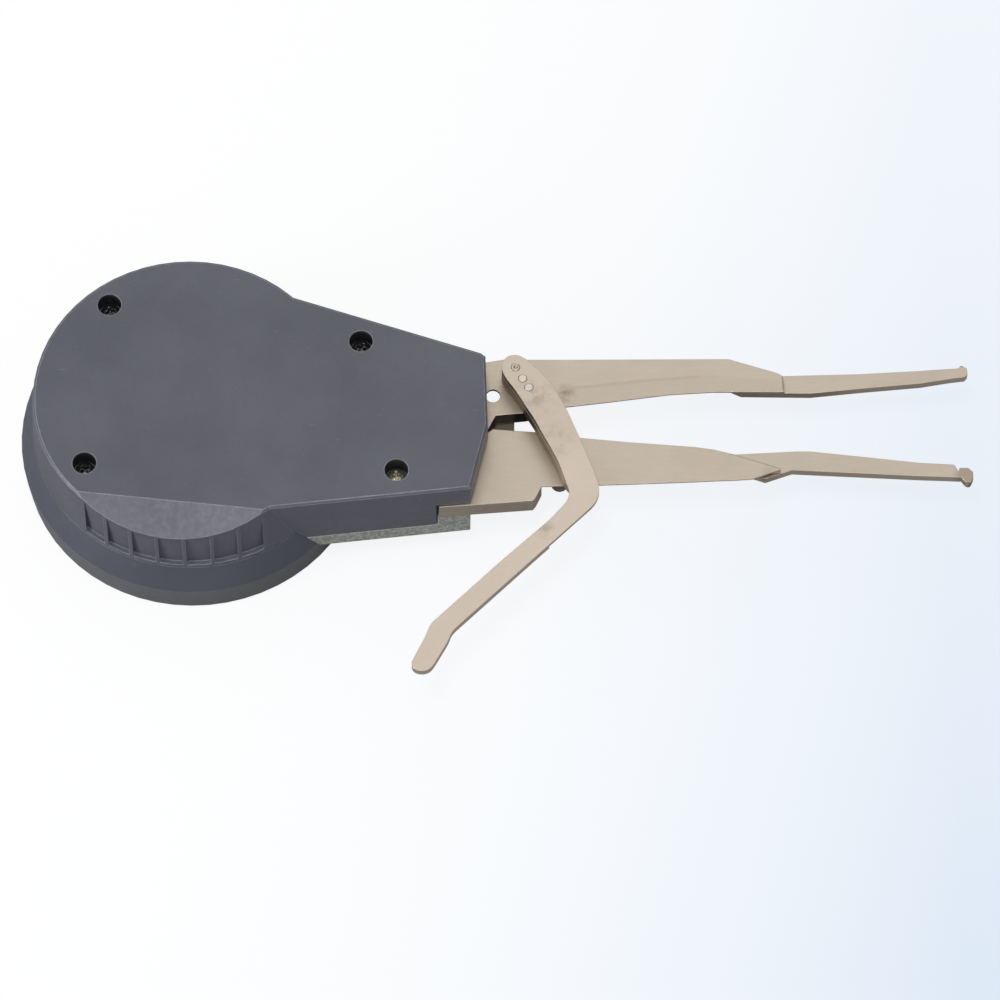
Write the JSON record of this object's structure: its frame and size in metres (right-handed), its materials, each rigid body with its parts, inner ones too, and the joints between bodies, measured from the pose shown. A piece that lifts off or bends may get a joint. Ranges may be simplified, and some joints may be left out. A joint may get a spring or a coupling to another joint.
{
  "type": "inside dial caliper",
  "caption": "Inside dial caliper with a round dial gauge, a fixed and a swinging measuring arm with slim legs, and a bent trigger lever that closes them.",
  "frame": {"origin": "on the dial's axis, in the plane of the bezel's front rim", "axes": "+X along the measuring arms, towards their contact points; +Y away from the trigger's finger end; +Z out of the back cover, so the dial faces -Z"},
  "size_m": [0.2129, 0.1057, 0.0289],
  "materials": {
    "cover_paint": "satin",
    "bezel_paint": "satin",
    "cast_metal": "rough cast",
    "nickel": "satin",
    "steel": "satin",
    "dark_steel": "satin",
    "brass": "satin",
    "glass": "gloss",
    "dial_white": "matte",
    "pointer_black": "matte"
  },
  "bodies": {
    "body": {"back_cover": "cover_paint", "frame_casting": "cast_metal", "cover_screw_1": "steel", "cover_screw_2": "steel", "cover_screw_3": "steel", "cover_screw_4": "steel", "fixed_arm": "nickel", "fixed_leg": "nickel", "fixed_leg_rivet_1": "steel", "fixed_leg_rivet_2": "steel", "fixed_contact": "steel", "arm_stop_pin": "dark_steel", "arm_screw_1": "steel", "arm_screw_2": "steel", "pivot_pin": "steel", "pivot_washer": "brass", "bridge_plate": "brass", "pillar_1": "brass", "pillar_2": "brass", "pillar_3": "brass", "bridge_screw_1": "steel", "bridge_screw_2": "steel", "bridge_screw_3": "steel", "hairspring_stud": "brass", "hairspring": "steel", "spring_post_fixed": "steel", "return_spring": "steel", "rest_stop_pin": "steel", "closing_stop_pin": "steel"},
    "moving_arm": {"moving_arm": "nickel", "moving_leg": "nickel", "moving_leg_rivet_1": "steel", "moving_leg_rivet_2": "steel", "moving_contact": "steel", "trigger_lever": "nickel", "lever_spacer": "dark_steel", "lever_rivet_1": "steel", "lever_rivet_2": "steel", "lever_rivet_3": "steel", "sector_gear": "brass", "sector_screw_1": "steel", "sector_screw_2": "steel", "pivot_bush": "brass", "spring_post_moving": "steel"},
    "idler": {"idler_arbor": "steel", "idler_gear": "brass"},
    "pointer": {"pointer": "pointer_black", "pointer_cap": "brass", "centre_arbor": "steel", "hairspring_collet": "brass"},
    "bezel": {"bezel_ring": "bezel_paint", "bezel_snap_ring": "steel", "crystal": "glass", "dial_spacer": "dark_steel", "dial_face": "dial_white"}
  },
  "joints": [
    {"name": "arm_hinge", "type": "hinge", "parent": "body", "child": "moving_arm", "pos_m": [0.0587, 0.0036, 0.0194], "axis": [0, 0, -1], "range_deg": [0, 10.2], "stiffness_Nm_per_rad": 0.04, "springref_deg": -9.74, "deforming": ["return_spring"]},
    {"name": "idler_turn", "type": "hinge", "parent": "body", "child": "idler", "pos_m": [0.01793, -0.00415, 0.0186], "axis": [0, 0, -1], "range_deg": [-111, 0]},
    {"name": "pointer_turn", "type": "hinge", "parent": "body", "child": "pointer", "pos_m": [0, 0, 0.015], "axis": [0, 0, -1], "range_deg": [0, 739], "deforming": ["hairspring"]},
    {"name": "bezel_turn", "type": "hinge", "parent": "body", "child": "bezel", "pos_m": [0, 0, 0.0075], "axis": [0, 0, -1], "continuous": true}
  ],
  "couplings": [
    {"joint": "idler_turn", "follows": "arm_hinge", "ratio": -10.858},
    {"joint": "pointer_turn", "follows": "arm_hinge", "ratio": 72.385}
  ]
}
